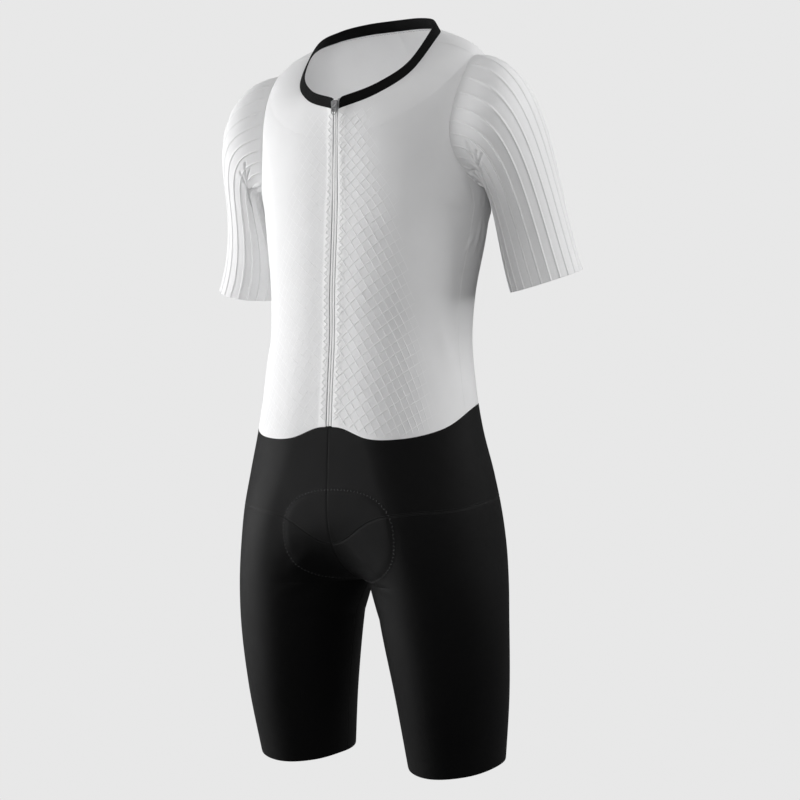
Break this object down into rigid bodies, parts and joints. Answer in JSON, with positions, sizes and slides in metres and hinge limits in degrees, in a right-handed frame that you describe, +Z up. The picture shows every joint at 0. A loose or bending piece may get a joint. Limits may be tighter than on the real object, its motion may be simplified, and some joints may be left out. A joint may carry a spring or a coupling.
{
  "type": "cycling skinsuit",
  "caption": "One-piece short-sleeved cycling suit, white zipped upper with ribbed sleeves sewn to black shorts, shown filled out as worn with open neck, cuffs and leg hems",
  "frame": {"origin": "between the shoulders, at the height of the side of the neck, where the wearer holds the suit up", "axes": "+Z up, +X to the wearer's left, the front faces -Y"},
  "size_m": [0.5268, 0.2187, 0.9574],
  "materials": {
    "white_knit": "matt white stretch mesh with a raised lattice",
    "ribbed_knit": "matt white stretch knit with raised ribs",
    "black_knit": "black stretch knit with a soft sheen",
    "black_band": "black elastic band",
    "zip_tape": "white woven tape",
    "zip_coil": "white moulded coil",
    "zip_metal": "dark satin metal"
  },
  "bodies": {
    "garment": {"front_left": "white_knit", "front_right": "white_knit", "side_left": "white_knit", "side_right": "white_knit", "back": "white_knit", "sleeve_left": "ribbed_knit", "sleeve_right": "ribbed_knit", "yoke_front_left": "black_knit", "yoke_front_right": "black_knit", "yoke_back": "black_knit", "leg_left": "black_knit", "leg_right": "black_knit", "neck_band": "black_band", "zip_tape_left": "zip_tape", "zip_tape_right": "zip_tape", "zip_chain": "zip_coil", "zip_slider": "zip_metal"},
    "pull": {"zip_pull": "zip_metal"}
  },
  "joints": [
    {"name": "pull_swing", "type": "hinge", "parent": "garment", "child": "pull", "pos_m": [0, -0.0864, -0.103], "axis": [-1, 0, 0], "range_deg": [0, 150]}
  ]
}
